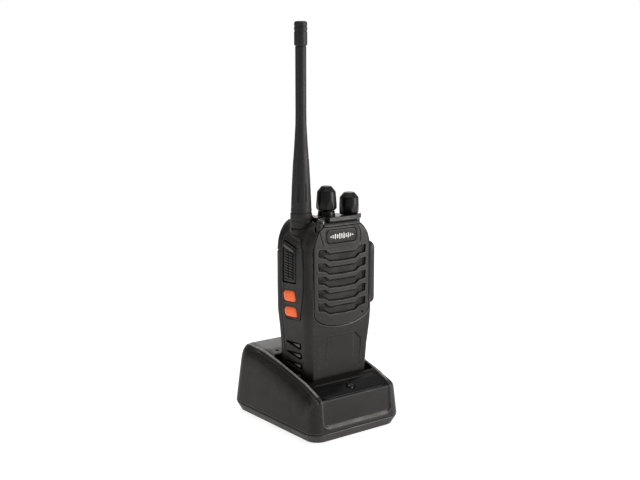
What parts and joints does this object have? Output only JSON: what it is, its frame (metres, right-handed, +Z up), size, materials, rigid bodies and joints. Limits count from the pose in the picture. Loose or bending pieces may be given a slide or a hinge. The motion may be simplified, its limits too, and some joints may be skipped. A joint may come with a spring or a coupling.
{
  "type": "two way radio",
  "caption": "Handheld two way radio with stub antenna, rotary knobs, side keys and louvred speaker, standing in a drop-in desktop charger.",
  "frame": {"origin": "centre of the charger footprint, on the table under its rubber feet", "axes": "+Z up, -Y towards the front of the radio and charger, -X towards the press-to-talk side"},
  "size_m": [0.072, 0.092, 0.2565],
  "materials": {
    "case_plastic": "satin charcoal moulded plastic with a fine grain",
    "grip_plastic": "darker matt moulded plastic",
    "gloss_black": "polished black plastic",
    "orange_key": "satin orange plastic",
    "dock_plastic": "satin charcoal moulded plastic",
    "foot_rubber": "soft rubber",
    "antenna_plastic": "matt flexible plastic over a coil",
    "clear_lens": "clear moulded plastic",
    "circuit_board": "green solder mask",
    "steel": "bright plated steel",
    "contact_metal": "gilded brass",
    "moulded_black": "black moulded plastic",
    "chassis_alloy": "die-cast alloy",
    "cell_wrap": "shrink-wrapped cell",
    "speaker_paper": "pressed paper cone"
  },
  "bodies": {
    "dock": {"dock_shell": "dock_plastic", "dock_window": "gloss_black", "dock_base": "dock_plastic", "dock_foot_front_left": "foot_rubber", "dock_foot_front_right": "foot_rubber", "dock_foot_rear_left": "foot_rubber", "dock_foot_rear_right": "foot_rubber", "dock_screw_front_left": "steel", "dock_screw_front_right": "steel", "dock_screw_rear_left": "steel", "dock_screw_rear_right": "steel", "dock_circuit_board": "circuit_board", "dock_light_pipe": "clear_lens", "dock_power_inlet": "moulded_black", "charging_pin_holder": "moulded_black"},
    "charging_pin_a": {"charging_pin_left": "contact_metal"},
    "charging_pin_b": {"charging_pin_right": "contact_metal"},
    "radio": {"front_case": "case_plastic", "speaker_fascia": "case_plastic", "badge_plate": "gloss_black", "side_key_panel": "grip_plastic", "side_switch_board": "circuit_board", "ptt_dome_switch": "steel", "upper_dome_switch": "steel", "lower_dome_switch": "steel", "accessory_jack_block": "moulded_black", "accessory_cover_pin": "steel", "control_panel": "gloss_black", "channel_switch": "steel", "volume_control": "steel", "antenna_connector": "contact_metal", "torch_lens": "clear_lens", "torch_lamp": "clear_lens", "status_light_pipe": "clear_lens", "speaker_frame": "steel", "speaker_cone": "speaker_paper", "speaker_magnet": "steel", "microphone": "steel", "main_circuit_board": "circuit_board", "radio_shield_can": "steel", "chassis": "chassis_alloy", "chassis_screw_left": "steel", "chassis_screw_right": "steel", "battery_case": "case_plastic", "battery_cover": "case_plastic", "battery_cell": "cell_wrap", "battery_board": "circuit_board", "battery_contact_left": "contact_metal", "battery_contact_right": "contact_metal"},
    "ptt": {"ptt_button": "grip_plastic"},
    "upper_key": {"side_key_upper": "orange_key"},
    "lower_key": {"side_key_lower": "orange_key"},
    "channel": {"channel_knob": "gloss_black", "channel_switch_shaft": "steel"},
    "volume": {"volume_knob": "gloss_black", "volume_control_shaft": "steel"},
    "jack_cover": {"accessory_cover": "case_plastic"},
    "aerial": {"antenna": "antenna_plastic", "antenna_cap": "antenna_plastic"},
    "latch": {"battery_latch": "grip_plastic"}
  },
  "joints": [
    {"name": "radio_lift", "type": "slide", "parent": "dock", "child": "radio", "axis": [0, 0, 1], "range_m": [0, 0.06]},
    {"name": "left_pin_press", "type": "slide", "parent": "dock", "child": "charging_pin_a", "axis": [0, 1, 0], "range_m": [0, 0.0012], "stiffness_N_per_m": 300, "springref_m": -0.0015},
    {"name": "right_pin_press", "type": "slide", "parent": "dock", "child": "charging_pin_b", "axis": [0, 1, 0], "range_m": [0, 0.0012], "stiffness_N_per_m": 300, "springref_m": -0.0015},
    {"name": "ptt_press", "type": "slide", "parent": "radio", "child": "ptt", "axis": [1, 0, 0], "range_m": [0, 0.0012], "stiffness_N_per_m": 1200, "springref_m": -0.0012},
    {"name": "upper_key_press", "type": "slide", "parent": "radio", "child": "upper_key", "axis": [1, 0, 0], "range_m": [0, 0.0009], "stiffness_N_per_m": 1200, "springref_m": -0.0012},
    {"name": "lower_key_press", "type": "slide", "parent": "radio", "child": "lower_key", "axis": [1, 0, 0], "range_m": [0, 0.0009], "stiffness_N_per_m": 1200, "springref_m": -0.0012},
    {"name": "channel_turn", "type": "hinge", "parent": "radio", "child": "channel", "pos_m": [-0.0015, -0.014, 0.14], "axis": [0, 0, -1], "range_deg": [0, 337.5]},
    {"name": "volume_turn", "type": "hinge", "parent": "radio", "child": "volume", "pos_m": [0.0169, -0.014, 0.136], "axis": [0, 0, -1], "range_deg": [0, 300]},
    {"name": "jack_cover_open", "type": "hinge", "parent": "radio", "child": "jack_cover", "pos_m": [0.0283, -0.0072, 0.098], "axis": [0, 0, 1], "range_deg": [0, 115]},
    {"name": "aerial_unscrew", "type": "hinge", "parent": "radio", "child": "aerial", "pos_m": [-0.0175, -0.009, 0.13], "axis": [0, 0, 1], "range_deg": [0, 1800]},
    {"name": "latch_press", "type": "slide", "parent": "radio", "child": "latch", "axis": [0, -1, 0], "range_m": [0, 0.0018], "stiffness_N_per_m": 400, "springref_m": -0.002}
  ]
}
